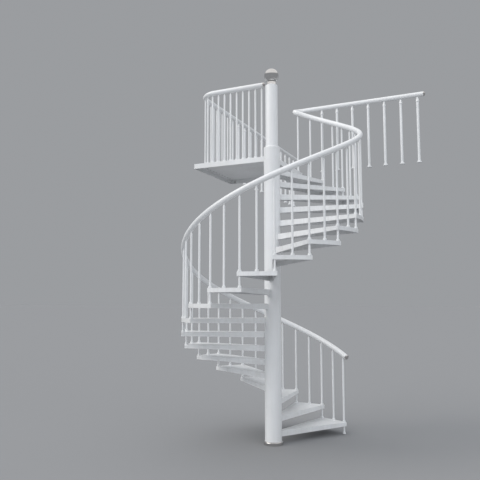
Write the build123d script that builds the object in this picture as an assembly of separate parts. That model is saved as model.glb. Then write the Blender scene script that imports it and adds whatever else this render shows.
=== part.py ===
from build123d import *
import os
from math import asin, atan, cos, degrees, radians, sin, tan

# Spiral staircase of folded steel treads on a round column, in millimetres.
# Origin on the column's axis at the floor, +X along the balcony's edge, +Y towards the balcony.
# The flight climbs counter-clockwise seen from above, and angles are counted from +X.

# Flight
TREADS = 20
RISE = 183.25
FIRST_RISE = 155.0
STEP_ANGLE = 19.82
TREAD_ANGLE = 22.5
STAIR_RADIUS = 1200.0
LANDING_AZIMUTH = 90.0

# Folded treads
TREAD_PLATE = 4.0
FLANGE_THICKNESS = 4.0
FOLD_RADIUS = 3.0
RIM_FLANGE_DEPTH = 50.0
HUB_FLANGE_DEPTH = 75.0

# Column: tread hubs and spacer sleeves with centring rings, stacked on a round post
HUB_HEIGHT = 90.0
SLEEVE_DIAMETER = 219.1
SLEEVE_WALL = 6.3
CENTRING_RING = 10.0
POST_DIAMETER = 168.3
POST_WALL = 7.1
POST_TOP_PLATE = 8.0
POST_CHAMFER = 4.0
POST_ABOVE_LANDING = 965.0
BASE_DIAMETER = 250.0
BASE_THICKNESS = 15.0
BASE_BOLTS = 6
BASE_BOLT_CIRCLE = 235.0
BASE_BOLT_HOLE = 9.0
COVER_GAP = 3.0
COVER_WALL = 2.0
COVER_HEIGHT = 45.0
COVER_ROUND = 16.0
COVER_ROUND_SHARE = 0.9
SLEEVE_ABOVE_LANDING = 62.0
SHOULDER_HEIGHT = 38.0
SHOULDER_RADIUS = 20.0
CAP_DIAMETER = 152.0
CAP_HEIGHT = 50.0
BALL_DIAMETER = 200.0
BALL_CENTRE_ABOVE_POST = 138.0

# Landing tray
LANDING_WIDTH = 1238.0
LANDING_LENGTH = 1229.0
LANDING_SETBACK = 57.0
LANDING_PLATE = 5.0
LANDING_FLANGE = 5.0
LANDING_DEPTH = 71.0
WALL_BOLT_HOLE = 14.0
WALL_BOLT_DROP = 40.0
WALL_BOLTS_OUTER = 1080.0
WALL_BOLTS_INNER = 360.0

# Rails and balusters
RAIL_DIAMETER = 70.0
RAIL_HEIGHT = 920.0
RAIL_OVERRUN = 85.0
RAIL_SECTIONS = 7
BALUSTER_DIAMETER = 26.9
BALUSTER_INSET = 21.0
BALUSTER_ANGLE = 1.36
STEM_DIAMETER = 14.0
STEM_LENGTH = 22.0
FERRULE_DIAMETER = 48.0
FERRULE_TOP_DIAMETER = 36.0
FERRULE_HEIGHT = 25.0
PLUG_LENGTH = 26.0
PLUG_GROOVE = 4.0
PLUG_GROOVE_DEPTH = 2.5

# Guard round the landing
GUARD_INSET = 50.0
GUARD_HEIGHT = 1039.0
GUARD_BEND = 250.0
GUARD_PITCH = 97.0
GUARD_END = 165.0
GUARD_FIRST = 190.0
GUARD_REAR_GAP = 30.0

# Guard along the balcony, on from the handrail's bend; its setback is counted from the stair's circle
BALCONY_GUARD_SETBACK = 125.0
BALCONY_BAYS = 6
BALCONY_PITCH = 240.0
BALCONY_FIRST = 318.0
BALCONY_BALUSTER_DIAMETER = 38.0
HEAD_HEIGHT = 68.0
HEAD_OVERHANG = 6.0
HEAD_LIP = 5.0
HEAD_TOP_DIAMETER = 24.0
BALCONY_FOOT_DIAMETER = 76.0
BALCONY_FOOT_THICKNESS = 8.0
BEND_CLIMB_ANGLE = 17.0

# Guard along the balcony's side, on from the landing's side rail
SIDE_BAYS = 12
SIDE_PITCH = 251.0
SIDE_FIRST = 201.0

CLEARANCE = 0.3

SLEEVE_RADIUS = SLEEVE_DIAMETER / 2
POST_RADIUS = POST_DIAMETER / 2
RAIL_RADIUS = RAIL_DIAMETER / 2
BALUSTER_RADIUS = BALUSTER_DIAMETER / 2
BALUSTER_CIRCLE = STAIR_RADIUS - BALUSTER_INSET
LANDING_TOP = FIRST_RISE + TREADS * RISE
LANDING_REAR = LANDING_SETBACK + LANDING_LENGTH
POST_TOP = LANDING_TOP + POST_ABOVE_LANDING
SLOPE = atan(RISE / radians(STEP_ANGLE) / BALUSTER_CIRCLE)
GUARD_X = GUARD_INSET - LANDING_WIDTH
GUARD_Y = LANDING_SETBACK + GUARD_INSET
GUARD_Z = LANDING_TOP + GUARD_HEIGHT
BALCONY_GUARD_Y = STAIR_RADIUS + BALCONY_GUARD_SETBACK
BALCONY_FOOT_TOP = LANDING_TOP + BALCONY_FOOT_THICKNESS


def tread_top(number):
    return FIRST_RISE + (number - 1) * RISE


def corner_azimuth(number):
    return LANDING_AZIMUTH - (TREADS + 1 - number) * STEP_ANGLE


def rail_z(azimuth):
    steps = (azimuth - corner_azimuth(1)) / STEP_ANGLE
    return FIRST_RISE + RAIL_HEIGHT + steps * RISE


def write(shape, name):
    shape.label = name
    export_step(shape, f"parts/{name}.step")


def ring_profile(points):
    return revolve(Plane.XZ * make_face(Polyline(*points, close=True)), Axis.Z)


def sleeve(bottom, top):
    """Column sleeve with a centring ring at each end, bored for the post."""
    bore = POST_RADIUS + CLEARANCE
    inner = SLEEVE_RADIUS - SLEEVE_WALL
    return ring_profile([
        (bore, bottom),
        (SLEEVE_RADIUS, bottom),
        (SLEEVE_RADIUS, top),
        (bore, top),
        (bore, top - CENTRING_RING),
        (inner, top - CENTRING_RING),
        (inner, bottom + CENTRING_RING),
        (bore, bottom + CENTRING_RING),
    ])


def sector(radius, angle, inset):
    """Slice of a disc from the axis, with straight sides and rim moved in by the inset."""
    half = radians(angle / 2)
    rim = radius - inset
    swing = half - asin(inset / rim)
    tip = (inset / sin(half), 0)
    low = (rim * cos(swing), -rim * sin(swing))
    high = (rim * cos(swing), rim * sin(swing))
    outline = [Line(tip, low), ThreePointArc(low, (rim, 0), high), Line(high, tip)]
    return Rot(0, 0, angle / 2) * make_face(Curve() + outline)


def tread_tray():
    """Plate with turned-down flanges that taper from the hub to the rim, top face at zero."""
    deepest = HUB_FLANGE_DEPTH
    nose = Rot(0, 0, TREAD_ANGLE / 2) * Box(SLEEVE_RADIUS, SLEEVE_DIAMETER, 4 * deepest)
    outer = extrude(sector(STAIR_RADIUS, TREAD_ANGLE, 0), -deepest) - nose
    folds = outer.edges().group_by(Axis.Z)[-1].filter_by(lambda edge: edge.length > SLEEVE_DIAMETER)
    corners = outer.edges().filter_by(Axis.Z).sort_by_distance((0, 0))[-2:]
    outer = fillet(folds + corners, FOLD_RADIUS)
    inside = sector(STAIR_RADIUS, TREAD_ANGLE, FLANGE_THICKNESS)
    pocket = extrude(Pos(0, 0, -TREAD_PLATE) * inside, -deepest)
    below_taper = ring_profile([
        (SLEEVE_RADIUS, -deepest),
        (STAIR_RADIUS + CLEARANCE, -RIM_FLANGE_DEPTH),
        (STAIR_RADIUS + CLEARANCE, -2 * deepest),
        (SLEEVE_RADIUS, -2 * deepest),
    ])
    hub_space = Pos(0, 0, -deepest) * Cylinder(SLEEVE_RADIUS - SLEEVE_WALL / 2, 4 * deepest)
    hole = Rot(0, 0, BALUSTER_ANGLE) * Pos(BALUSTER_CIRCLE, 0, 0)
    hole = hole * Cylinder(BALUSTER_RADIUS + CLEARANCE, 3 * TREAD_PLATE)
    return outer - pocket - below_taper - hub_space - hole


def treads():
    """Trays on their hubs, and the spacers that fill the rest of each rise."""
    tread = tread_tray() + sleeve(-HUB_HEIGHT, 0)
    spacers = []
    bottom = BASE_THICKNESS
    for number in range(1, TREADS + 1):
        top = tread_top(number)
        write(Pos(0, 0, top) * Rot(0, 0, corner_azimuth(number)) * tread, f"tread_{number:02d}")
        spacers.append(sleeve(bottom, top - HUB_HEIGHT))
        bottom = top
    spacers.append(sleeve(bottom, LANDING_TOP - HUB_HEIGHT))
    write(Compound(children=spacers), "spacer_sleeves")


def landing():
    """Square tray beside the column, its plate carried by the topmost hub."""
    plan = Pos(-LANDING_WIDTH / 2, LANDING_SETBACK + LANDING_LENGTH / 2, LANDING_TOP)
    tray = plan * extrude(Rectangle(LANDING_WIDTH, LANDING_LENGTH), -LANDING_DEPTH)
    tray = fillet(tray.edges().group_by(Axis.Z)[-1] + tray.edges().filter_by(Axis.Z), FOLD_RADIUS)
    inside = Rectangle(LANDING_WIDTH - 2 * LANDING_FLANGE, LANDING_LENGTH - 2 * LANDING_FLANGE)
    tray -= plan * Pos(0, 0, -LANDING_PLATE) * extrude(inside, -LANDING_DEPTH)
    tray -= Pos(0, 0, LANDING_TOP) * Cylinder(SLEEVE_RADIUS - SLEEVE_WALL / 2, 4 * LANDING_DEPTH)
    last = Rot(0, 0, corner_azimuth(TREADS + 1) + BALUSTER_ANGLE) * Pos(BALUSTER_CIRCLE, 0, LANDING_TOP)
    tray -= last * Cylinder(BALUSTER_RADIUS + CLEARANCE, 3 * LANDING_PLATE)
    for spacing in (WALL_BOLTS_OUTER, WALL_BOLTS_INNER):
        for side in (-1, 1):
            place = Pos(-LANDING_WIDTH / 2 + side * spacing / 2, LANDING_REAR, LANDING_TOP - WALL_BOLT_DROP)
            tray -= place * Rot(90, 0, 0) * Cylinder(WALL_BOLT_HOLE / 2, 4 * LANDING_FLANGE)
    write(tray + sleeve(LANDING_TOP - HUB_HEIGHT, LANDING_TOP + SLEEVE_ABOVE_LANDING), "landing_platform")


def cover_form(radius, height, round_radius):
    """Low drum round the column, its upper edge rounded within its width."""
    bore = SLEEVE_RADIUS + CLEARANCE
    drum = ring_profile([(bore, 0), (radius, 0), (radius, height), (bore, height)])
    rim = drum.edges().filter_by(GeomType.CIRCLE).group_by(Axis.Z)[-1].sort_by(SortBy.RADIUS)[-1]
    return fillet(rim, min(round_radius, (radius - bore) * COVER_ROUND_SHARE))


def column():
    base = Pos(0, 0, BASE_THICKNESS / 2) * Cylinder(BASE_DIAMETER / 2, BASE_THICKNESS)
    for place in PolarLocations(BASE_BOLT_CIRCLE / 2, BASE_BOLTS):
        base -= place * Cylinder(BASE_BOLT_HOLE / 2, 4 * BASE_THICKNESS)
    write(base, "base_flange")
    inner = BASE_DIAMETER / 2 + COVER_GAP
    skin = cover_form(inner + COVER_WALL, COVER_HEIGHT, COVER_ROUND)
    write(skin - cover_form(inner, COVER_HEIGHT - COVER_WALL, COVER_ROUND - COVER_WALL), "base_cover")

    post = ring_profile([
        (POST_RADIUS - POST_WALL, BASE_THICKNESS),
        (POST_RADIUS, BASE_THICKNESS),
        (POST_RADIUS, POST_TOP - POST_CHAMFER),
        (POST_RADIUS - POST_CHAMFER, POST_TOP),
        (0, POST_TOP),
        (0, POST_TOP - POST_TOP_PLATE),
        (POST_RADIUS - POST_WALL, POST_TOP - POST_TOP_PLATE),
    ])
    write(post, "centre_post")

    foot = LANDING_TOP + SLEEVE_ABOVE_LANDING
    bore = POST_RADIUS + CLEARANCE
    shoulder = ring_profile([
        (bore, foot),
        (SLEEVE_RADIUS, foot),
        (SLEEVE_RADIUS, foot + SHOULDER_HEIGHT),
        (bore, foot + SHOULDER_HEIGHT),
    ])
    rim = shoulder.edges().filter_by(GeomType.CIRCLE).group_by(Axis.Z)[-1].sort_by(SortBy.RADIUS)[-1]
    write(fillet(rim, SHOULDER_RADIUS), "column_shoulder")

    ball_place = Pos(0, 0, POST_TOP + BALL_CENTRE_ABOVE_POST)
    cap = Pos(0, 0, POST_TOP + CAP_HEIGHT / 2) * Cylinder(CAP_DIAMETER / 2, CAP_HEIGHT)
    write(cap - ball_place * Sphere(BALL_DIAMETER / 2 + CLEARANCE), "ball_seat")
    write(ball_place * Sphere(BALL_DIAMETER / 2), "ball_finial")


def baluster(bottom, rail_centre, slope, diameter):
    """Bar on the Z axis with a domed head and a thin stem cut to the rail's underside."""
    radius = diameter / 2
    stem = STEM_DIAMETER / 2
    seat = rail_centre - (RAIL_RADIUS + CLEARANCE) / cos(slope)
    neck = seat - STEM_LENGTH
    dome = radius - stem
    reach = seat + STEM_DIAMETER
    outline = [
        Line((0, bottom), (radius, bottom)),
        Line((radius, bottom), (radius, neck - dome)),
        RadiusArc((radius, neck - dome), (stem, neck), -dome),
        Line((stem, neck), (stem, reach)),
        Line((stem, reach), (0, reach)),
        Line((0, reach), (0, bottom)),
    ]
    bar = revolve(Plane.XZ * make_face(Curve() + outline), Axis.Z)
    seat_plane = Plane(origin=(0, 0, seat), x_dir=(1, 0, 0), z_dir=(0, -sin(slope), cos(slope)))
    return split(bar, bisect_by=seat_plane, keep=Keep.BOTTOM)


def ferrule(radius):
    """Conical collar round a baluster's foot, standing on the plane at zero."""
    grow = radius - BALUSTER_RADIUS
    bore = radius + CLEARANCE
    return ring_profile([
        (bore, 0),
        (FERRULE_DIAMETER / 2 + grow, 0),
        (FERRULE_TOP_DIAMETER / 2 + grow, FERRULE_HEIGHT),
        (bore, FERRULE_HEIGHT),
    ])


def on_circle(azimuth, z=0.0):
    return Rot(0, 0, azimuth) * Pos(BALUSTER_CIRCLE, 0, z)


def stair_balusters():
    """Long bars tie each tread's back corner to the next one's front, short ones stand between."""
    collar = ferrule(BALUSTER_RADIUS)
    long_bars = []
    short_bars = []
    collars = []
    for number in range(1, TREADS + 2):
        azimuth = corner_azimuth(number) + BALUSTER_ANGLE
        below = tread_top(number - 1) if number > 1 else 0.0
        bar = baluster(below, rail_z(azimuth), SLOPE, BALUSTER_DIAMETER)
        long_bars.append(on_circle(azimuth) * bar)
        collars.append(on_circle(azimuth, below) * collar)
        collars.append(on_circle(azimuth, tread_top(number)) * collar)
        if number <= TREADS:
            middle = azimuth + STEP_ANGLE / 2
            bar = baluster(tread_top(number), rail_z(middle), SLOPE, BALUSTER_DIAMETER)
            short_bars.append(on_circle(middle) * bar)
            collars.append(on_circle(middle, tread_top(number)) * collar)
    write(Compound(children=long_bars), "corner_balusters")
    write(Compound(children=short_bars), "middle_balusters")
    write(Compound(children=collars), "baluster_collars")


def tube_along(path):
    return sweep(Plane(origin=path @ 0, z_dir=path % 0) * Circle(RAIL_RADIUS), path=path)


def plug(seat, direction):
    """Domed end plug with a groove beside the rail."""
    core = RAIL_RADIUS - PLUG_GROOVE_DEPTH
    dome = PLUG_LENGTH - PLUG_GROOVE
    dome_radius = (RAIL_RADIUS ** 2 + dome ** 2) / (2 * dome)
    outline = [
        Line((0, 0), (core, 0)),
        Line((core, 0), (core, PLUG_GROOVE)),
        Line((core, PLUG_GROOVE), (RAIL_RADIUS, PLUG_GROOVE)),
        RadiusArc((RAIL_RADIUS, PLUG_GROOVE), (0, PLUG_LENGTH), -dome_radius),
        Line((0, PLUG_LENGTH), (0, 0)),
    ]
    head = revolve(Plane.XZ * make_face(Curve() + outline), Axis.Z)
    return Plane(origin=seat, z_dir=direction) * head


def handrail():
    """Helical rail in equal sections, then a tight return into the balcony's level rail."""
    overrun = degrees(RAIL_OVERRUN * cos(SLOPE) / BALUSTER_CIRCLE)
    start = corner_azimuth(1) + BALUSTER_ANGLE - overrun
    end = corner_azimuth(TREADS + 1) + BALUSTER_ANGLE
    turn = (end - start) / RAIL_SECTIONS
    pitch = RISE * 360 / STEP_ANGLE
    height = turn / STEP_ANGLE * RISE
    for section in range(RAIL_SECTIONS):
        azimuth = start + section * turn
        helix = Rot(0, 0, azimuth) * Pos(0, 0, rail_z(azimuth)) * Helix(pitch, height, BALUSTER_CIRCLE)
        write(tube_along(helix), f"handrail_{section + 1}")
        if section == 0:
            write(plug(helix @ 0, -(helix % 0)), "handrail_end_plug")

    direction = Vector(-sin(radians(end)) * cos(SLOPE), cos(radians(end)) * cos(SLOPE), sin(SLOPE))
    top = Vector(BALUSTER_CIRCLE * cos(radians(end)), BALUSTER_CIRCLE * sin(radians(end)), rail_z(end))
    across = Vector(0, cos(radians(BEND_CLIMB_ANGLE)), sin(radians(BEND_CLIMB_ANGLE)))
    level = Vector(1, 0, 0)
    half_turn = radians(direction.get_angle(across)) / 2
    radius = (BALCONY_GUARD_Y - top.Y) / (tan(half_turn) * (direction.Y + across.Y) + across.Y)
    middle = top + (direction + across) * (radius * tan(half_turn))
    last = middle + (across + level) * radius
    first_arc = TangentArc(top, middle, tangent=direction)
    second_arc = TangentArc(middle, last, tangent=across)
    write(tube_along(first_arc) + tube_along(second_arc), "handrail_return_bend")
    return last


def headed_bar(bottom, rail_centre, diameter):
    """Bar on the Z axis under a level rail, its head a cone that stands out round the bar."""
    radius = diameter / 2
    lip = radius + HEAD_OVERHANG
    seat = rail_centre - RAIL_RADIUS - CLEARANCE
    foot = seat - HEAD_HEIGHT
    return ring_profile([
        (0, bottom),
        (radius, bottom),
        (radius, foot),
        (lip, foot),
        (lip, foot + HEAD_LIP),
        (HEAD_TOP_DIAMETER / 2, seat),
        (0, seat),
    ])


def footed_bars(places, rail_centre, name):
    """Thicker bars on round feet, each with its collar."""
    bar = headed_bar(BALCONY_FOOT_TOP, rail_centre, BALCONY_BALUSTER_DIAMETER)
    collar = Pos(0, 0, BALCONY_FOOT_TOP) * ferrule(BALCONY_BALUSTER_DIAMETER / 2)
    foot = Cylinder(BALCONY_FOOT_DIAMETER / 2, BALCONY_FOOT_THICKNESS)
    foot = Pos(0, 0, LANDING_TOP + BALCONY_FOOT_THICKNESS / 2) * foot
    write(Compound(children=[place * bar for place in places]), f"{name}_balusters")
    write(Compound(children=[place * collar for place in places]), f"{name}_collars")
    write(Compound(children=[place * foot for place in places]), f"{name}_feet")


def balcony_guard(rail_start):
    places = [Pos(BALCONY_FIRST + i * BALCONY_PITCH, BALCONY_GUARD_Y, 0) for i in range(BALCONY_BAYS + 1)]
    footed_bars(places, rail_start.Z, "balcony")
    last = BALCONY_FIRST + BALCONY_BAYS * BALCONY_PITCH
    rail = Line(rail_start, (last + RAIL_OVERRUN, BALCONY_GUARD_Y, rail_start.Z))
    write(tube_along(rail), "balcony_rail")
    write(plug(rail @ 1, rail % 1), "balcony_rail_plug")


def landing_guard():
    corner = GUARD_X + GUARD_BEND
    front = Line((-GUARD_END, GUARD_Y, GUARD_Z), (corner, GUARD_Y, GUARD_Z))
    bend = TangentArc(front @ 1, (GUARD_X, GUARD_Y + GUARD_BEND, GUARD_Z), tangent=front % 1)
    side = Line(bend @ 1, (GUARD_X, LANDING_REAR, GUARD_Z))
    write(tube_along(front), "landing_front_rail")
    write(tube_along(bend), "landing_rail_bend")
    write(tube_along(side), "landing_side_rail")

    run_on = Line(side @ 1, (GUARD_X, LANDING_REAR + SIDE_FIRST + SIDE_BAYS * SIDE_PITCH, GUARD_Z))
    write(tube_along(run_on), "side_rail")
    side_places = [Pos(GUARD_X, LANDING_REAR + SIDE_FIRST + i * SIDE_PITCH, 0) for i in range(SIDE_BAYS)]
    footed_bars(side_places, GUARD_Z, "side")
    plugs = [plug(front @ 0, -(front % 0)), plug(run_on @ 1, run_on % 1)]
    write(Compound(children=plugs), "landing_rail_plugs")

    bar = baluster(LANDING_TOP, GUARD_Z, 0.0, BALUSTER_DIAMETER)
    collar = Pos(0, 0, LANDING_TOP) * ferrule(BALUSTER_RADIUS)
    path = Wire([front, bend, side])
    first = GUARD_FIRST - GUARD_END
    run = path.length - first - GUARD_REAR_GAP
    spaces = round(run / GUARD_PITCH)
    points = [path.position_at((first + run * i / spaces) / path.length) for i in range(spaces + 1)]
    places = [Pos(point.X, point.Y, 0) for point in points]
    write(Compound(children=[place * bar for place in places]), "landing_balusters")
    write(Compound(children=[place * collar for place in places]), "landing_collars")


os.makedirs("parts", exist_ok=True)
column()
treads()
landing()
stair_balusters()
balcony_guard(handrail())
landing_guard()
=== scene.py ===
import math

import bmesh
import bpy
import numpy as np
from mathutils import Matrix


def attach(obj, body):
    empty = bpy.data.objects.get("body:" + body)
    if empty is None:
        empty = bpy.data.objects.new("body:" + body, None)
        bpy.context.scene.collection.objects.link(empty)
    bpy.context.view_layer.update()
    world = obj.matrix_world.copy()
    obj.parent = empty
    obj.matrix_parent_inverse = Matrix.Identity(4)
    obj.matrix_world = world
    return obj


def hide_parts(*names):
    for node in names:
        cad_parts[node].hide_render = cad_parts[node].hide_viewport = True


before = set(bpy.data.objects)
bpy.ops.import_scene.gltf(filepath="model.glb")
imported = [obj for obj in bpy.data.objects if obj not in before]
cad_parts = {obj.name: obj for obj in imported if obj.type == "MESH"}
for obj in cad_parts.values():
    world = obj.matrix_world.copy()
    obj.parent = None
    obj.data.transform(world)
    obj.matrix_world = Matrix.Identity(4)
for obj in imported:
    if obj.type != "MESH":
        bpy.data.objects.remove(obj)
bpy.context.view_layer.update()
scene = bpy.context.scene

# The view: at eye height, about 7.7 m from the column, and tilted slightly up. The lens and the
# place come from fitting the treads' corners in the 480 by 480 frame.
eye_distance, eye_height, eye_azimuth = 7.707, 1.8385, math.radians(-68.42)
look_azimuth, look_pitch = math.radians(114.80), math.radians(6.011)
focal_pixels, frame_pixels, sensor_width = 578.035, 480, 36.0
camera_data = bpy.data.cameras.new("view")
camera_data.sensor_width = sensor_width
camera_data.lens = focal_pixels / frame_pixels * sensor_width
camera = bpy.data.objects.new("view", camera_data)
camera.location = (eye_distance * math.cos(eye_azimuth), eye_distance * math.sin(eye_azimuth),
                   eye_height)
camera.rotation_euler = (math.pi / 2 + look_pitch, 0.0, look_azimuth - math.pi / 2)
scene.collection.objects.link(camera)
scene.camera = camera
scene.view_settings.view_transform = "Standard"


# The studio: a broad soft key from the camera's left, weak fills, an even surround and a plain
# matt floor. The camera and the metal see the surround in the floor's own shade, so no horizon
# shows, and brighter overhead, as under a ceiling of soft lamps.
def wire(tree, kind, settings=None, inputs=None):
    """Adds a node, sets its settings, then its sockets, each by a value or by another socket."""
    node = tree.nodes.new(kind)
    for name, value in (settings or {}).items():
        setattr(node, name, value)
    for name, value in (inputs or {}).items():
        if isinstance(value, bpy.types.NodeSocket):
            tree.links.new(value, node.inputs[name])
        else:
            node.inputs[name].default_value = value
    return node


def mix_colours(tree, share, first, second):
    """Goes from the first colour to the second as the share goes from 0 to 1."""
    node = wire(tree, "ShaderNodeMix", {"data_type": "RGBA"}, {0: share, 6: first, 7: second})
    return node.outputs[2]


warm_white, cool_white = (1.0, 0.950, 0.895), (0.93, 0.96, 1.0)
floor_colour = (0.2872, 0.2908, 0.2977, 1.0)
seen_around, seen_overhead = (0.326, 0.336, 0.351, 1.0), (0.98, 0.965, 0.96, 1.0)
fade_start, fade_end = 0.47, 0.68
surround_strength = 0.70

surround = bpy.data.worlds.new("surround")
surround.use_nodes = True
surround_tree = surround.node_tree
surround_tree.nodes.clear()
rays = wire(surround_tree, "ShaderNodeLightPath")
seen = wire(surround_tree, "ShaderNodeMath", {"operation": "MAXIMUM"},
            {0: rays.outputs["Is Camera Ray"], 1: rays.outputs["Is Glossy Ray"]})
lighting = wire(surround_tree, "ShaderNodeBackground", None,
                {"Color": (*cool_white, 1.0), "Strength": surround_strength})
direction = wire(surround_tree, "ShaderNodeTexCoord").outputs["Generated"]
upward = wire(surround_tree, "ShaderNodeSeparateXYZ", None, {0: direction}).outputs["Z"]
height = wire(surround_tree, "ShaderNodeMapRange",
              {"clamp": True, "interpolation_type": "SMOOTHSTEP"},
              {"Value": upward, "From Min": fade_start, "From Max": fade_end})
shade = mix_colours(surround_tree, height.outputs[0], seen_around, seen_overhead)
backdrop = wire(surround_tree, "ShaderNodeBackground", None, {"Color": shade, "Strength": 1.0})
blend = wire(surround_tree, "ShaderNodeMixShader", None,
             {0: seen.outputs[0], 1: lighting.outputs[0], 2: backdrop.outputs[0]})
wire(surround_tree, "ShaderNodeOutputWorld", None, {"Surface": blend.outputs[0]})
scene.world = surround


def lamp(name, azimuth, elevation, strength, softness, colour=cool_white, mirrored=False):
    """A sun lamp from the given side, angles in degrees, seen in polished metal if mirrored."""
    data = bpy.data.lights.new(name, "SUN")
    data.energy = strength
    data.angle = math.radians(softness)
    data.color = colour
    holder = bpy.data.objects.new(name, data)
    holder.visible_glossy = mirrored
    holder.rotation_euler = (math.radians(90 - elevation), 0.0, math.radians(azimuth + 90))
    scene.collection.objects.link(holder)
    return holder


key = lamp("key", azimuth=218, elevation=40, strength=1.18, softness=40, colour=warm_white,
           mirrored=True)
lamp("side_fill", azimuth=-30, elevation=10, strength=0.55, softness=60)
lamp("top_fill", azimuth=180, elevation=75, strength=0.62, softness=80)
lamp("low_fill", azimuth=262, elevation=6, strength=0.75, softness=50)

floor_reach, floor_roughness, floor_gloss = 200.0, 0.9, 0.0
floor_mesh = bpy.data.meshes.new("floor")
floor_corners = np.array([(-1, -1, 0), (1, -1, 0), (1, 1, 0), (-1, 1, 0)]) * floor_reach
floor_mesh.from_pydata(floor_corners.tolist(), [], [(0, 1, 2, 3)])
floor = bpy.data.objects.new("floor", floor_mesh)
scene.collection.objects.link(floor)
floor_paint = bpy.data.materials.new("floor_paint")
floor_paint.use_nodes = True
floor_shader = floor_paint.node_tree.nodes["Principled BSDF"]
floor_shader.inputs["Base Color"].default_value = floor_colour
floor_shader.inputs["Roughness"].default_value = floor_roughness
floor_shader.inputs["Specular IOR Level"].default_value = floor_gloss
floor_mesh.materials.append(floor_paint)


# Spacer sleeves: turned steel tubes that fill each rise between two tread hubs on the post.
# White powder coat over steel, with the fine orange peel of sprayed paint. Their ends have a
# small chamfer, so that each joint of the column shows as a hairline.
class Value:
    """A shader number: operators on it add Math nodes."""

    def __init__(self, tree, socket):
        self.tree = tree
        self.socket = socket

    def combine(self, operation, first, second):
        """One Math node on two numbers, each plain or a shader number."""
        pair = [item.socket if isinstance(item, Value) else item for item in (first, second)]
        node = wire(self.tree, "ShaderNodeMath", {"operation": operation}, dict(enumerate(pair)))
        return Value(self.tree, node.outputs[0])

    def __add__(self, other):
        return self.combine("ADD", self, other)

    def __sub__(self, other):
        return self.combine("SUBTRACT", self, other)

    def __rsub__(self, other):
        return self.combine("SUBTRACT", other, self)

    def __mul__(self, other):
        return self.combine("MULTIPLY", self, other)

    __radd__ = __add__
    __rmul__ = __mul__


def noise(tree, waves, detail=3.0, stretch=(1.0, 1.0, 1.0)):
    """Noise on object coordinates, about 0.5 on average, with so many waves in a metre."""
    place = wire(tree, "ShaderNodeTexCoord")
    pattern = wire(tree, "ShaderNodeMapping", None,
                   {"Vector": place.outputs["Object"], "Scale": stretch})
    cloud = wire(tree, "ShaderNodeTexNoise", None,
                 {"Vector": pattern.outputs[0], "Scale": waves, "Detail": detail,
                  "Roughness": 0.55})
    return Value(tree, cloud.outputs["Fac"])


def stretched(value, low, high):
    """Spreads the range from low to high of a shader number over 0 to 1, and cuts off the rest."""
    spread = wire(value.tree, "ShaderNodeMapRange", {"clamp": True},
                  {"Value": value.socket, "From Min": low, "From Max": high})
    return Value(value.tree, spread.outputs[0])


def new_material(name):
    """A material, its node tree and its shader."""
    material = bpy.data.materials.new(name)
    material.use_nodes = True
    return material, material.node_tree, material.node_tree.nodes["Principled BSDF"]


tone_waves, run_waves, sheen_waves, peel_waves = 2.3, 26.0, 38.0, 420.0
run_stretch = (1.0, 1.0, 0.07)
tone_share, run_share, sheen_spread = 0.55, 0.45, 0.14
peel_strength, peel_height = 0.10, 0.0006
coat_weight, coat_roughness = 0.18, 0.12


def painted_steel(name, white, dust, dust_amount, gloss):
    """Sprayed white paint: broad tone changes, faint run marks down the metal and orange peel."""
    material, tree, shader = new_material(name)
    tone = stretched(noise(tree, tone_waves), low=0.35, high=0.75)
    streaks = noise(tree, run_waves, detail=4.0, stretch=run_stretch)
    runs = stretched(streaks, low=0.45, high=0.80)
    mask = (tone * tone_share + runs * run_share) * dust_amount
    tree.links.new(mix_colours(tree, mask.socket, white, dust), shader.inputs["Base Color"])
    sheen = stretched(noise(tree, sheen_waves, detail=5.0), low=0.30, high=0.70)
    rough = sheen * sheen_spread + gloss
    tree.links.new(rough.socket, shader.inputs["Roughness"])
    peel = noise(tree, peel_waves, detail=2.0)
    bump = wire(tree, "ShaderNodeBump", None,
                {"Height": peel.socket, "Strength": peel_strength, "Distance": peel_height})
    tree.links.new(bump.outputs[0], shader.inputs["Normal"])
    shader.inputs["Coat Weight"].default_value = coat_weight
    shader.inputs["Coat Roughness"].default_value = coat_roughness
    return material


paint_white, paint_dust = (0.800, 0.812, 0.825, 1), (0.66, 0.665, 0.66, 1)
white_paint = painted_steel("white_paint", paint_white, paint_dust, dust_amount=0.55, gloss=0.30)


def grid_faces(rows, columns, wrap=False):
    """Quads of a grid of points in row order; with wrap, the last column joins the first."""
    starts = np.arange(columns if wrap else columns - 1)
    row, column = np.meshgrid(np.arange(rows - 1), starts, indexing="ij")
    here, below, after = row * columns, (row + 1) * columns, (column + 1) % columns
    corners = (here + column, here + after, below + after, below + column)
    return np.stack([corner.ravel() for corner in corners], axis=1)


def lathe(profile, sides, centre=(0.0, 0.0)):
    """Turns a profile of (radius, height) pairs round an upright axis.

    A point is the centre plus the radius times the cosine and sine of its angle, at the height."""
    profile = np.asarray(profile, float)
    angle = np.linspace(0, 2 * np.pi, sides, endpoint=False)
    x = centre[0] + profile[:, :1] * np.cos(angle)
    y = centre[1] + profile[:, :1] * np.sin(angle)
    z = np.broadcast_to(profile[:, 1:], x.shape)
    return np.stack([x, y, z], axis=2).reshape(-1, 3), grid_faces(len(profile), sides, wrap=True)


def joined(shapes):
    """One shape from several, each a pair of points and quads."""
    clouds, quads = zip(*shapes)
    starts = np.cumsum([0] + [len(points) for points in clouds])
    faces = [corners + start for corners, start in zip(quads, starts)]
    return np.concatenate(clouds), np.concatenate(faces)


merge_distance, sliver_length, sharp_angle = 1e-6, 1e-7, math.radians(32)


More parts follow.
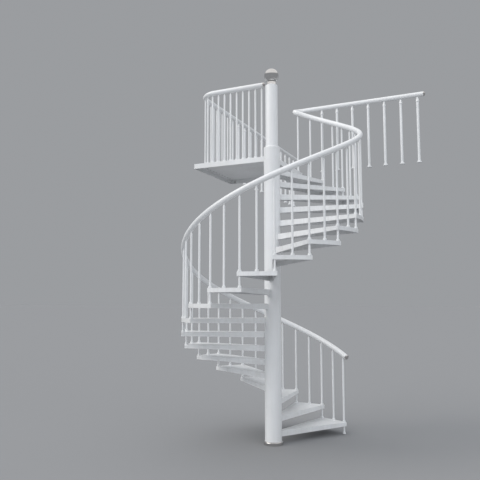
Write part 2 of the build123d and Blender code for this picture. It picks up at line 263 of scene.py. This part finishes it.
def shape_mesh(name, shape, material, outward):
    """Mesh of a shape, its seams and poles merged, smooth but for edges over the sharp angle."""
    points, faces = shape
    mesh = bpy.data.meshes.new(name)
    mesh.from_pydata(points.tolist(), [], faces.tolist())
    work = bmesh.new()
    work.from_mesh(mesh)
    bmesh.ops.remove_doubles(work, verts=work.verts, dist=merge_distance)
    bmesh.ops.dissolve_degenerate(work, edges=work.edges, dist=sliver_length)
    if outward:
        bmesh.ops.recalc_face_normals(work, faces=work.faces)
    work.to_mesh(mesh)
    work.free()
    mesh.shade_smooth()
    mesh.set_sharp_from_angle(angle=sharp_angle)
    mesh.materials.append(material)
    return mesh


def add_piece(name, shape, material, slot, *stands_for, outward=True):
    """Puts a shape into the scene as one piece of the stair, in place of the named nodes."""
    piece = bpy.data.objects.new(name, shape_mesh(name, shape, material, outward))
    scene.collection.objects.link(piece)
    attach(piece, "root")
    if stands_for:
        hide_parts(*stands_for)
    return piece


tread_count, rise, first_rise = 20, 0.18325, 0.155
sleeve_radius, post_radius, hub_height = 0.2191 / 2, 0.1683 / 2, 0.090
base_thickness = 0.015
chamfer, clearance = 0.0007, 0.0003
column_sides = 72


def tread_top(number):
    """Height of a tread's top: the first rise, and one rise more for each tread after it."""
    return first_rise + (number - 1) * rise


landing_top = tread_top(tread_count + 1)


def sleeve(bottom, top):
    """Closed tube of the column, its outer edges broken by a small chamfer."""
    bore, side = post_radius + clearance, sleeve_radius - chamfer
    return lathe([(bore, bottom), (side, bottom), (sleeve_radius, bottom + chamfer),
                  (sleeve_radius, top - chamfer), (side, top), (bore, top), (bore, bottom)],
                 column_sides)


spacer_bottoms = [base_thickness] + [tread_top(number) for number in range(1, tread_count + 1)]
spacer_tops = [tread_top(number) - hub_height for number in range(1, tread_count + 2)]
spacers = joined([sleeve(low, high) for low, high in zip(spacer_bottoms, spacer_tops)])
add_piece("column_spacers", spacers, white_paint, "white_paint", "spacer_sleeves")


# The tread trays: 4 mm steel plate with its edges folded down, 50 mm deep at the curved rim and
# 75 mm at the column, welded to a hub with a bead all round and sprayed white. The tops carry a
# The whole tray carries a little more scuffing than the other pieces.
stair_radius = 1.200
step_angle, tread_angle = math.radians(19.82), math.radians(22.5)
plate, fold_width = 0.004, 0.0015
rim_depth, hub_depth, hub_overlap = 0.050, 0.075, 0.004
tray_rows, tray_columns = 9, 26
bead_radius, bead_stand_off, bead_rise = 0.003, 0.0009, 0.0005
bead_points, bead_side_points, bead_sides = 14, 6, 8
flange_offset, bead_stop = 0.0012, 0.002

tread_dust = (0.60, 0.60, 0.59, 1)
tread_paint = painted_steel("tread_paint", paint_white, tread_dust, dust_amount=0.70, gloss=0.36)


def corner_azimuth(number):
    """Angle of a tread's front edge: the landing's at a right angle, one step less for each."""
    return math.pi / 2 - (tread_count + 1 - number) * step_angle


def folded_wedge(top):
    """Sheet of one tray: rows go out from the hub and over the rim, columns over it and its folds.

    A point is the radius times the cosine and sine of its angle, at the top or, on a fold, a
    flange's depth below. The depth falls evenly from hub to rim, and folded corners meet."""
    angle = np.concatenate([[0.0], np.linspace(0, tread_angle, tray_columns), [tread_angle]])
    radius = np.linspace(sleeve_radius - hub_overlap, stair_radius, tray_rows)
    radius = np.concatenate([radius, [stair_radius]])
    fall = (rim_depth - hub_depth) * (radius - sleeve_radius) / (stair_radius - sleeve_radius)
    dropped = np.zeros((len(radius), len(angle)))
    dropped[:, 0] = dropped[:, -1] = hub_depth + fall
    dropped[-1, :] = rim_depth
    r, a = np.meshgrid(radius, angle, indexing="ij")
    points = np.stack([r * np.cos(a), r * np.sin(a), top - dropped], axis=2)
    return points.reshape(-1, 3), grid_faces(len(radius), len(angle))[:, ::-1]


def closed_tube(path, radius, sides, up=(0.0, 0.0, 1.0)):
    """Round section carried along a path, each end closed by a ring shrunk to a point.

    A point is the path's plus the radius times side by the cosine and crown by the sine of its
    angle. Side is the direction crossed with up, and crown is side crossed with the direction.
    The radius may be one number or one for each point of the path."""
    path = np.asarray(path, float)
    along = np.gradient(path, axis=0)
    along /= np.linalg.norm(along, axis=1, keepdims=True)
    side = np.cross(along, np.broadcast_to(up, along.shape))
    side /= np.linalg.norm(side, axis=1, keepdims=True)
    crown = np.cross(side, along)
    angle = np.linspace(0, 2 * np.pi, sides, endpoint=False)[:, None]
    size = np.broadcast_to(radius, len(path))[:, None, None]
    rings = path[:, None] + size * (side[:, None] * np.cos(angle) + crown[:, None] * np.sin(angle))
    first, last = (np.repeat(ring.mean(axis=1, keepdims=True), sides, axis=1)
                   for ring in (rings[:1], rings[-1:]))
    rings = np.concatenate([first, rings, last])
    return rings.reshape(-1, 3), grid_faces(len(rings), sides, wrap=True)


def level_bead(start, end, radius, top):
    """Bead along the edge of a plate, on an arc round the column from one angle to another."""
    angle = np.linspace(start, end, bead_points)
    level = np.full(bead_points, top + bead_rise)
    path = np.stack([radius * np.cos(angle), radius * np.sin(angle), level], axis=1)
    return closed_tube(path, bead_radius, bead_sides)


def weld_bead(top):
    """Beads of one tray: an arc along the plate, and a straight run down each flange."""
    radius = sleeve_radius + bead_stand_off
    beads = [level_bead(0.0, tread_angle, radius, top)]
    drop = np.linspace(top, top - hub_depth + bead_stop, bead_side_points)
    for corner, turn in ((0.0, -1), (tread_angle, 1)):
        slip = corner + turn * flange_offset / radius
        spot = np.array([radius * math.cos(slip), radius * math.sin(slip), 0.0])
        run = spot + np.outer(drop, (0, 0, 1))
        beads.append(closed_tube(run, bead_radius, bead_sides, up=(1.0, 0.0, 0.0)))
    return joined(beads)


def turned(shape, azimuth):
    """The shape turned about the column: its points times the matrix of the turn."""
    points, faces = shape
    cosine, sine = math.cos(azimuth), math.sin(azimuth)
    spin = np.array([(cosine, sine, 0), (-sine, cosine, 0), (0, 0, 1)])
    return points @ spin, faces


def fold_sheet(piece, thickness):
    """Gives a sheet its thickness, on its inner side, and rounds its folds and cut edges."""
    wall = piece.modifiers.new("wall", "SOLIDIFY")
    wall.thickness = thickness
    wall.offset = -1.0
    wall.use_even_offset = True
    folds = piece.modifiers.new("folds", "BEVEL")
    folds.width = fold_width
    folds.segments = 3
    folds.limit_method = "ANGLE"
    folds.angle_limit = sharp_angle
    folds.use_clamp_overlap = True
    folds.harden_normals = True


for number in range(1, tread_count + 1):
    azimuth, top = corner_azimuth(number), tread_top(number)
    tray = add_piece(f"tray_{number:02d}", turned(folded_wedge(top), azimuth), tread_paint,
                     "white_paint", f"tread_{number:02d}", outward=False)
    fold_sheet(tray, plate)
    hub = joined([sleeve(top - hub_height, top), turned(weld_bead(top), azimuth)])
    add_piece(f"hub_{number:02d}", hub, white_paint, "white_paint", f"tread_{number:02d}")


# The column's ends: a bolted base plate under a spun, polished cover, the thinner post above the
# landing with the rounded shoulder that closes the last hub, and a polished ball in a cup on the
# post's top.
post_top = landing_top + 0.965
post_wall, post_edge, cap_thickness = 0.0071, 0.004, 0.008
shoulder_foot, shoulder_top, shoulder_round = landing_top + 0.062, landing_top + 0.100, 0.020
base_radius, base_edge, bolt_circle, bolt_count = 0.125, 0.001, 0.1175, 6
cover_radius, cover_wall, cover_height, cover_round = 0.130, 0.002, 0.045, 0.016
ball_radius, ball_height = 0.100, post_top + 0.138
seat_radius, seat_taper, seat_edge, seat_top = 0.076, 0.010, 0.012, post_top + 0.050
lip_width, lip_drop, cup_floor = 0.010, 0.006, post_top + 0.030
smear_waves, smear_share, smear_spread = 9.0, 0.5, 0.10
chrome_tint, smear_tint = (0.66, 0.655, 0.65, 1), (0.52, 0.51, 0.50, 1)


def polished_chrome(name, tint, gloss):
    """Plated metal with faint smears from weather and use."""
    material, tree, shader = new_material(name)
    shader.inputs["Metallic"].default_value = 1.0
    smear = stretched(noise(tree, smear_waves, detail=5.0), low=0.45, high=0.75)
    base = mix_colours(tree, (smear * smear_share).socket, tint, smear_tint)
    tree.links.new(base, shader.inputs["Base Color"])
    tree.links.new((smear * smear_spread + gloss).socket, shader.inputs["Roughness"])
    return material


def arc(centre, radius, start, end, count):
    """Points of an arc in the plane of radius and height, its angles in degrees.

    A point is the centre plus the radius times the cosine and sine of its angle."""
    angle = np.radians(np.linspace(start, end, count))
    return (centre + radius * np.stack([np.cos(angle), np.sin(angle)], axis=1)).tolist()


chrome = polished_chrome("bright_chrome", chrome_tint, gloss=0.05)
post_bore, cap_foot = post_radius - post_wall, post_top - cap_thickness
post_side, edge_foot = post_radius - post_edge, post_top - post_edge
post_profile = [(post_bore, base_thickness), (post_radius, base_thickness)]
post_profile += [(post_radius, edge_foot)]
post_profile += arc((post_side, edge_foot), post_edge, 0, 90, count=5)
post_profile += [(0.0, post_top), (0.0, cap_foot), (post_bore, cap_foot), post_profile[0]]
add_piece("post", lathe(post_profile, column_sides), white_paint, "white_paint", "centre_post")

shoulder_bore = post_radius + clearance
shoulder_centre = (sleeve_radius - shoulder_round, shoulder_top - shoulder_round)
shoulder_profile = [(shoulder_bore, shoulder_foot), (sleeve_radius - chamfer, shoulder_foot)]
shoulder_profile += [(sleeve_radius, shoulder_foot + chamfer)]
shoulder_profile += arc(shoulder_centre, shoulder_round, 0, 90, count=12)
shoulder_profile += [(shoulder_bore, shoulder_top), (shoulder_bore, shoulder_foot)]
add_piece("shoulder", lathe(shoulder_profile, column_sides), white_paint, "white_paint",
          "column_shoulder")

base_profile = [(0.0, 0.0), (base_radius - base_edge, 0.0), (base_radius, base_edge)]
base_profile += [(base_radius, base_thickness - base_edge)]
base_profile += [(base_radius - base_edge, base_thickness), (0.0, base_thickness)]
add_piece("base_plate", lathe(base_profile, column_sides), white_paint, "white_paint",
          "base_flange")


def cover_skin(radius, height, bend):
    """Profile of one side of the cover, from the floor over its rounded edge to the column."""
    edge = arc((radius - bend, height - bend), bend, 0, 90, count=14)
    return [(radius, 0.0)] + edge + [(sleeve_radius + clearance, height)]


cover_profile = cover_skin(cover_radius, cover_height, cover_round)
cover_profile += cover_skin(cover_radius - cover_wall, cover_height - cover_wall,
                            cover_round - cover_wall)[::-1]
cover_profile += [cover_profile[0]]
add_piece("foot_cover", lathe(cover_profile, sides=96), chrome, "bright_chrome", "base_cover")

lip_radius = math.sqrt(ball_radius ** 2 - (ball_height - seat_top) ** 2)
seat_centre = (seat_radius - seat_taper - seat_edge, seat_top - seat_edge)
seat_profile = [(0.0, post_top), (seat_radius, post_top)]
seat_profile += arc(seat_centre, seat_edge, 12, 80, count=6)
seat_profile += [(lip_radius, seat_top), (lip_radius - lip_width, seat_top - lip_drop)]
seat_profile += [(0.0, cup_floor)]
ball_cup = add_piece("ball_cup", lathe(seat_profile, column_sides), chrome, "bright_chrome",
                     "ball_seat")
ball_profile = arc((0.0, ball_height), ball_radius, -90, 90, count=49)
ball = add_piece("ball", lathe(ball_profile, sides=96), chrome, "bright_chrome", "ball_finial")

# The key's own image in the ball and its cup would be a hard white spot, so it leaves them out.
polished = bpy.data.collections.new("polished_top")
for piece in (ball_cup, ball):
    polished.objects.link(piece)
for member in polished.collection_objects:
    member.light_linking.link_state = "EXCLUDE"
key.light_linking.receiver_collection = polished


# Balusters: round steel bars on the treads and the landing, with a domed head and a thin stem
# welded to the rail. A long bar passes through the front corner of each tread down to the back
# corner of the tread below, and a short one stands between two of these.
baluster_circle = stair_radius - 0.021
baluster_angle = math.radians(1.36)
baluster_radius, stem_radius, stem_length = 0.0269 / 2, 0.007, 0.022
dome_radius, bar_inside = baluster_radius - stem_radius, 0.006
flare_radius, flare_below, flare_above = stem_radius * 1.3, 0.003, 0.001
rail_radius, rail_height = 0.070 / 2, 0.920
slope = math.atan(rise / step_angle / baluster_circle)


def rail_level(azimuth):
    """Height of the rail's centre line, which climbs one rise for each step of angle."""
    return first_rise + rail_height + (azimuth - corner_azimuth(1)) / step_angle * rise


def bar(x, y, bottom, rail_centre, lean):
    """Upright bar with a quarter-round head, whose stem flares under the rail and ends in it."""
    seat = rail_centre - rail_radius / math.cos(lean)
    neck = seat - stem_length - dome_radius
    profile = [(0.0, bottom), (baluster_radius, bottom), (baluster_radius, neck)]
    profile += arc((stem_radius, neck), dome_radius, 15, 90, count=6)
    profile += [(stem_radius, seat - flare_below), (flare_radius, seat + flare_above)]
    profile += [(flare_radius, seat + bar_inside), (0.0, seat + bar_inside)]
    return lathe(profile, sides=20, centre=(x, y))


def on_circle(azimuth):
    """Point of the balusters' circle: its radius times the cosine and sine of the angle."""
    return baluster_circle * math.cos(azimuth), baluster_circle * math.sin(azimuth)


long_bars, short_bars, collar_spots, bolt_spots = [], [], [], []
for number in range(1, tread_count + 2):
    azimuth = corner_azimuth(number) + baluster_angle
    below = tread_top(number - 1) if number > 1 else 0.0
    x, y = on_circle(azimuth)
    long_bars.append(bar(x, y, below, rail_level(azimuth), slope))
    collar_spots += [(x, y, below), (x, y, tread_top(number))]
    if number > 1:
        bolt_spots.append((x, y, below - plate))
    if number <= tread_count:
        middle = azimuth + step_angle / 2
        x, y = on_circle(middle)
        short_bars.append(bar(x, y, tread_top(number), rail_level(middle), slope))
        collar_spots.append((x, y, tread_top(number)))
        bolt_spots.append((x, y, tread_top(number) - plate))
add_piece("long_bars", joined(long_bars), white_paint, "white_paint", "corner_balusters")
add_piece("short_bars", joined(short_bars), white_paint, "white_paint", "middle_balusters")


# Collars: small turned cones that cover each baluster's foot and keep water off the plate.
# They are sprayed with the bars, and sit on the plate with a rounded top edge.
collar_foot, collar_top, collar_height, collar_land = 0.024, 0.018, 0.025, 0.002
collar_overlap, collar_round, collar_lean, collar_break = 0.002, 0.002, 0.001, 0.0025


def collar(x, y, z, grow=0.0):
    """Cone with a short upright land at its foot and a rounded lip; grow widens all of it."""
    inner = baluster_radius + grow - collar_overlap
    foot, lip, crest = collar_foot + grow, collar_top + grow, z + collar_height
    profile = [(inner, z), (foot, z), (foot, z + collar_land)]
    profile += [(lip + collar_lean, crest - collar_break)]
    profile += arc((lip - collar_lean, crest - collar_round), collar_round, 0, 90, count=4)
    profile += [(inner, crest), (inner, z)]
    return lathe(profile, sides=24, centre=(x, y))


stair_collars = joined([collar(*spot) for spot in collar_spots])
add_piece("stair_collars", stair_collars, white_paint, "white_paint", "baluster_collars")


# The handrail: 70 mm steel tube rolled to the stair's helix in seven lengths that meet in fine
# joints. Above the last tread it turns back through two tight arcs, still climbing, and runs on
# level past the landing. Its cut ends are closed by grooved, polished plugs.
rail_overrun, rail_sections, rail_sides, helix_steps = 0.085, 7, 40, 460
joint_depth, joint_width = 0.0006, 0.0012
climb = math.radians(17.0)
balcony_line = stair_radius + 0.125
balcony_first, balcony_pitch, balcony_bays = 0.318, 0.240, 6
straight_steps = 12


def bend_between(start, before, after, radius, count=24):
    """Arc of the given radius that turns from one direction to the other, and its end point.

    A point is the start plus the radius times the first direction by the sine of its angle and
    the inward direction by one less the cosine."""
    turn = math.acos(float(np.dot(before, after)))
    inward = after - before * math.cos(turn)
    inward /= np.linalg.norm(inward)
    angle = np.linspace(0, turn, count)[:, None]
    points = start + radius * (before * np.sin(angle) + inward * (1 - np.cos(angle)))
    return points, points[-1]


def lengths_along(route):
    """Length of a route up to each of its points: the running sum of the steps between them."""
    return np.concatenate([[0], np.cumsum(np.linalg.norm(np.diff(route, axis=0), axis=1))])


def grooved(lengths, joints):
    """Radius at each length: the rail's, less a groove that fades out evenly from each joint."""
    depth = sum(np.clip(1 - np.abs(lengths - joint) / joint_width, 0, 1) for joint in joints)
    return rail_radius - joint_depth * depth


rail_start = corner_azimuth(1) + baluster_angle - rail_overrun * math.cos(slope) / baluster_circle
rail_end = corner_azimuth(tread_count + 1) + baluster_angle
joint_angles = np.linspace(rail_start, rail_end, rail_sections + 1)[1:]
groove_offsets = np.arange(-2, 3)[:, None] * joint_width / baluster_circle
fine = (joint_angles + groove_offsets).ravel()
even = np.linspace(rail_start, rail_end, helix_steps)
angles = np.unique(np.concatenate([even, fine[fine <= rail_end]]))
helix = np.stack([baluster_circle * np.cos(angles), baluster_circle * np.sin(angles),
                  rail_level(angles)], axis=1)
leaving = np.array([-math.sin(rail_end) * math.cos(slope), math.cos(rail_end) * math.cos(slope),
                    math.sin(slope)])
across = np.array([0.0, math.cos(climb), math.sin(climb)])
level = np.array([1.0, 0.0, 0.0])

# Both bends have this radius, which brings the end of the second one onto the level rail's line.
half_turn = math.acos(float(np.dot(leaving, across))) / 2
bend_reach = math.tan(half_turn) * (leaving[1] + across[1]) + across[1]
bend_radius = (balcony_line - helix[-1][1]) / bend_reach
first_bend, middle = bend_between(helix[-1], leaving, across, bend_radius)
second_bend, last = bend_between(middle, across, level, bend_radius)
balcony_end = balcony_first + balcony_bays * balcony_pitch + rail_overrun
straight = last + np.outer(np.linspace(0, balcony_end - last[0], straight_steps), level)
route = np.concatenate([helix, first_bend[1:], second_bend[1:], straight[1:]])
lengths = lengths_along(route)
joint_lengths = np.interp(joint_angles, angles, lengths[:len(angles)])
rail = closed_tube(route, grooved(lengths, joint_lengths), rail_sides)
add_piece("rail_tube", rail, white_paint, "white_paint",
          *[f"handrail_{number}" for number in range(1, rail_sections + 1)],
          "handrail_return_bend", "balcony_rail")

plug_length, plug_groove, groove_depth, plug_tail = 0.026, 0.004, 0.0025, 0.004
plug_tint = (0.60, 0.58, 0.57, 1)


def end_plug(seat, direction):
    """Domed plug with a groove next to the tube, turned about the rail's own line.

    The dome is a cap of the sphere through the plug's edge and its tip."""
    dome = plug_length - plug_groove
    sphere = (rail_radius ** 2 + dome ** 2) / (2 * dome)
    reach = math.degrees(math.asin(rail_radius / sphere))
    neck = rail_radius - groove_depth
    profile = [(0.0, -plug_tail), (neck, -plug_tail), (neck, plug_groove)]
    profile += [(rail_radius, plug_groove)]
    profile += arc((0.0, plug_length - sphere), sphere, 90 - reach, 90, count=14)
    points, faces = lathe(profile, rail_sides)
    direction = np.asarray(direction, float) / np.linalg.norm(direction)
    side = np.cross(direction, (0.0, 0.0, 1.0))
    side /= np.linalg.norm(side)
    crown = np.cross(side, direction)
    return points @ np.stack([side, crown, direction]) + seat, faces


plug_chrome = polished_chrome("plug_chrome", plug_tint, gloss=0.16)
add_piece("foot_plug", end_plug(helix[0], helix[0] - helix[1]), plug_chrome, "bright_chrome",
          "handrail_end_plug")
add_piece("balcony_plug", end_plug(straight[-1], level), plug_chrome, "bright_chrome",
          "balcony_rail_plug")


# The landing: a square tray of 5 mm steel plate with folded sides, beside the column and welded
# to the topmost hub. Four bolts hold its rear side.
landing_width, landing_setback, landing_length = 1.238, 0.057, 1.229
landing_rear = landing_setback + landing_length
landing_plate, landing_depth, landing_steps = 0.005, 0.071, 8
landing_stand_off = 0.001


def folded_tray():
    """Flat sheet with all four sides turned down; the folded corners meet in one point each.

    A point of the grid is at the landing's top or, on its border, one flange's depth below."""
    x = np.concatenate([[-landing_width], np.linspace(-landing_width, 0, landing_steps), [0.0]])
    y = np.concatenate([[landing_setback],
                        np.linspace(landing_setback, landing_rear, landing_steps), [landing_rear]])
    dropped = np.zeros((len(x), len(y)))
    dropped[0] = dropped[-1] = landing_depth
    dropped[:, 0] = dropped[:, -1] = landing_depth
    grid_x, grid_y = np.meshgrid(x, y, indexing="ij")
    points = np.stack([grid_x, grid_y, landing_top - dropped], axis=2)
    return points.reshape(-1, 3), grid_faces(len(x), len(y))[:, ::-1]


landing = add_piece("landing_tray", folded_tray(), tread_paint, "white_paint", "landing_platform",
                    outward=False)
fold_sheet(landing, landing_plate)
weld_end = math.pi - math.asin(landing_setback / sleeve_radius)
landing_weld = level_bead(math.pi / 2, weld_end, sleeve_radius + landing_stand_off, landing_top)
landing_hub = joined([sleeve(landing_top - hub_height, shoulder_foot), landing_weld])
add_piece("landing_hub", landing_hub, white_paint, "white_paint", "landing_platform")


# The landing's guard: a level steel rail about a metre up, with one round corner, welded to
# closely set balusters. The front end stops short of the post with a plug.
guard_inset, guard_height, guard_bend = 0.050, 1.039, 0.250
guard_pitch, guard_end, guard_first, guard_rear_gap = 0.097, 0.165, 0.190, 0.030
side_first, side_pitch, side_bays = 0.201, 0.251, 12
front_steps, side_steps = 8, 24
guard_x, guard_y = guard_inset - landing_width, landing_setback + guard_inset
guard_z = landing_top + guard_height
front_start = np.array([-guard_end, guard_y, guard_z])
corner_start = np.array([guard_x + guard_bend, guard_y, guard_z])
rearward = np.array([0.0, 1.0, 0.0])
corner_points, corner_end = bend_between(corner_start, -level, rearward, guard_bend)
side_end = np.array([guard_x, landing_rear + side_first + side_bays * side_pitch, guard_z])
front_run = front_start + np.outer(np.linspace(0, 1, front_steps), corner_start - front_start)
side_run = corner_end + np.outer(np.linspace(0, 1, side_steps), side_end - corner_end)
guard_route = np.concatenate([front_run, corner_points[1:], side_run[1:]])
guard_rail = closed_tube(guard_route, rail_radius, rail_sides)
add_piece("guard_rail", guard_rail, white_paint, "white_paint",
          "landing_front_rail", "landing_rail_bend", "landing_side_rail", "side_rail")
guard_plugs = joined([end_plug(front_start, level), end_plug(side_end, rearward)])
add_piece("guard_plugs", guard_plugs, plug_chrome, "bright_chrome", "landing_rail_plugs")

guard_lengths = lengths_along(guard_route)
first_length = guard_first - guard_end
last_length = guard_lengths[-1] - (side_end[1] - landing_rear) - guard_rear_gap
spaces = round((last_length - first_length) / guard_pitch)
bar_lengths = np.linspace(first_length, last_length, spaces + 1)
guard_spots = [tuple(np.interp(length, guard_lengths, guard_route[:, axis]) for axis in (0, 1))
               for length in bar_lengths]
guard_bars = joined([bar(x, y, landing_top, guard_z, 0.0) for x, y in guard_spots])
guard_collars = joined([collar(x, y, landing_top) for x, y in guard_spots])
add_piece("guard_bars", guard_bars, white_paint, "white_paint", "landing_balusters")
add_piece("guard_collars", guard_collars, white_paint, "white_paint", "landing_collars")
bolt_spots += [(x, y, landing_top - landing_plate) for x, y in guard_spots]


# The guards past the landing, in front and along the far side: thicker steel bars under the same
# level rails, each with a conical head, a collar, and a round foot plate held by three screws.
balcony_radius, foot_radius, foot_thickness, foot_edge = 0.019, 0.038, 0.008, 0.0015
head_height, head_overhang, head_land, head_top, head_edge = 0.068, 0.006, 0.005, 0.012, 0.0012


def headed_bar(x, y, bottom, rail_centre):
    """Upright bar whose head is a cone that stands out round it and narrows up to the rail."""
    seat = rail_centre - rail_radius
    foot, lip = seat - head_height, balcony_radius + head_overhang
    profile = [(0.0, bottom), (balcony_radius, bottom), (balcony_radius, foot)]
    profile += [(lip - head_edge, foot), (lip, foot + head_edge), (lip, foot + head_land)]
    profile += [(lip - head_edge, foot + head_land + 2 * head_edge), (head_top, seat)]
    profile += [(head_top, seat + bar_inside), (0.0, seat + bar_inside)]
    return lathe(profile, sides=28, centre=(x, y))


balcony_spots = [(balcony_first + i * balcony_pitch, balcony_line) for i in range(balcony_bays + 1)]
side_spots = [(guard_x, landing_rear + side_first + i * side_pitch) for i in range(side_bays)]
foot_top = landing_top + foot_thickness
foot_profile = [(0.0, landing_top), (foot_radius, landing_top), (foot_radius, foot_top - foot_edge)]
foot_profile += [(foot_radius - foot_edge, foot_top), (0.0, foot_top)]
for guard, spots, rail_centre in (("balcony", balcony_spots, last[2]),
                                  ("side", side_spots, guard_z)):
    bars = joined([headed_bar(x, y, foot_top, rail_centre) for x, y in spots])
    feet = joined([lathe(foot_profile, sides=40, centre=spot) for spot in spots])
    cones = joined([collar(x, y, foot_top, balcony_radius - baluster_radius) for x, y in spots])
    add_piece(f"{guard}_bars", bars, white_paint, "white_paint", f"{guard}_balusters")
    add_piece(f"{guard}_plates", feet, white_paint, "white_paint", f"{guard}_feet")
    add_piece(f"{guard}_cones", cones, white_paint, "white_paint", f"{guard}_collars")


# Fasteners: stainless dome nuts on the base plate, hexagon bolts with washers that hold each
# baluster from below the plate, bolt heads inside the landing's rear side, and the foot plates'
# screws. The profiles of nuts and bolts are in shares of their size.
base_nut, foot_bolt, rear_bolt = 0.0052, 0.0075, 0.0105
dome_nut = [(20, [(0, 0), (1.35, 0), (1.35, 0.2), (0, 0.2)]),
            (6, [(0, 0), (1, 0), (1, 0.9), (0.9, 1), (0, 1)]),
            (16, [(0.8, 0.9)] + arc((0, 0.95), 0.75, 0, 90, count=6))]
hexagon_bolt = [(16, [(0, 0), (1.4, 0), (1.4, -0.18), (0, -0.18)]),
                (6, [(0, 0), (1, 0), (1, -0.8), (0.88, -0.95), (0, -0.95)])]
screw_radius, screw_land, screw_flat, screw_height = 0.0045, 0.001, 0.0025, 0.0022
screw_circle, screw_count = 0.0315, 3
rear_bolt_x, rear_bolt_z = (-1.159, -0.799, -0.439, -0.079), 3.780
grain_waves, grain_spread, grain_gloss = 160.0, 0.15, 0.26
steel_light, steel_dark = (0.56, 0.56, 0.55, 1), (0.46, 0.46, 0.46, 1)


def steel_fastener(name):
    """Turned stainless steel with a fine grain."""
    material, tree, shader = new_material(name)
    shader.inputs["Metallic"].default_value = 1.0
    grain = stretched(noise(tree, grain_waves, detail=4.0), low=0.3, high=0.7)
    base = mix_colours(tree, grain.socket, steel_light, steel_dark)
    tree.links.new(base, shader.inputs["Base Color"])
    tree.links.new((grain * grain_spread + grain_gloss).socket, shader.inputs["Roughness"])
    return material


def fastener(turnings, size, x, y, z):
    """Turned parts on a spot: each profile times the size, raised to the spot's height."""
    return joined([lathe(np.array(profile) * size + (0.0, z), sides, (x, y))
                   for sides, profile in turnings])


def flange_bolt(x, z):
    """A bolt turned on its side, its head on the inner face of the landing's rear flange."""
    points, faces = fastener(hexagon_bolt, rear_bolt, 0.0, 0.0, 0.0)
    return points[:, [0, 2, 1]] + (x, landing_rear - landing_plate, z), faces


stainless = steel_fastener("stainless")
base_angles = [2 * math.pi * i / bolt_count for i in range(bolt_count)]
base_nuts = joined([fastener(dome_nut, base_nut, bolt_circle * math.cos(a),
                             bolt_circle * math.sin(a), base_thickness) for a in base_angles])
add_piece("base_nuts", base_nuts, stainless, "bright_chrome")
foot_bolts = joined([fastener(hexagon_bolt, foot_bolt, *spot) for spot in bolt_spots])
add_piece("foot_bolts", foot_bolts, stainless, "bright_chrome")
landing_bolts = joined([flange_bolt(x, rear_bolt_z) for x in rear_bolt_x])
add_piece("landing_bolts", landing_bolts, stainless, "bright_chrome")
screw_head = [(screw_radius, foot_top), (screw_radius, foot_top + screw_land)]
screw_head += [(screw_flat, foot_top + screw_height), (0, foot_top + screw_height)]
screw_angles = [math.radians(90 + 360 / screw_count * i) for i in range(screw_count)]
screw_spots = [(x + screw_circle * math.cos(a), y + screw_circle * math.sin(a))
               for x, y in balcony_spots + side_spots for a in screw_angles]
screws = joined([lathe(screw_head, sides=12, centre=spot) for spot in screw_spots])
add_piece("foot_screws", screws, stainless, "bright_chrome")
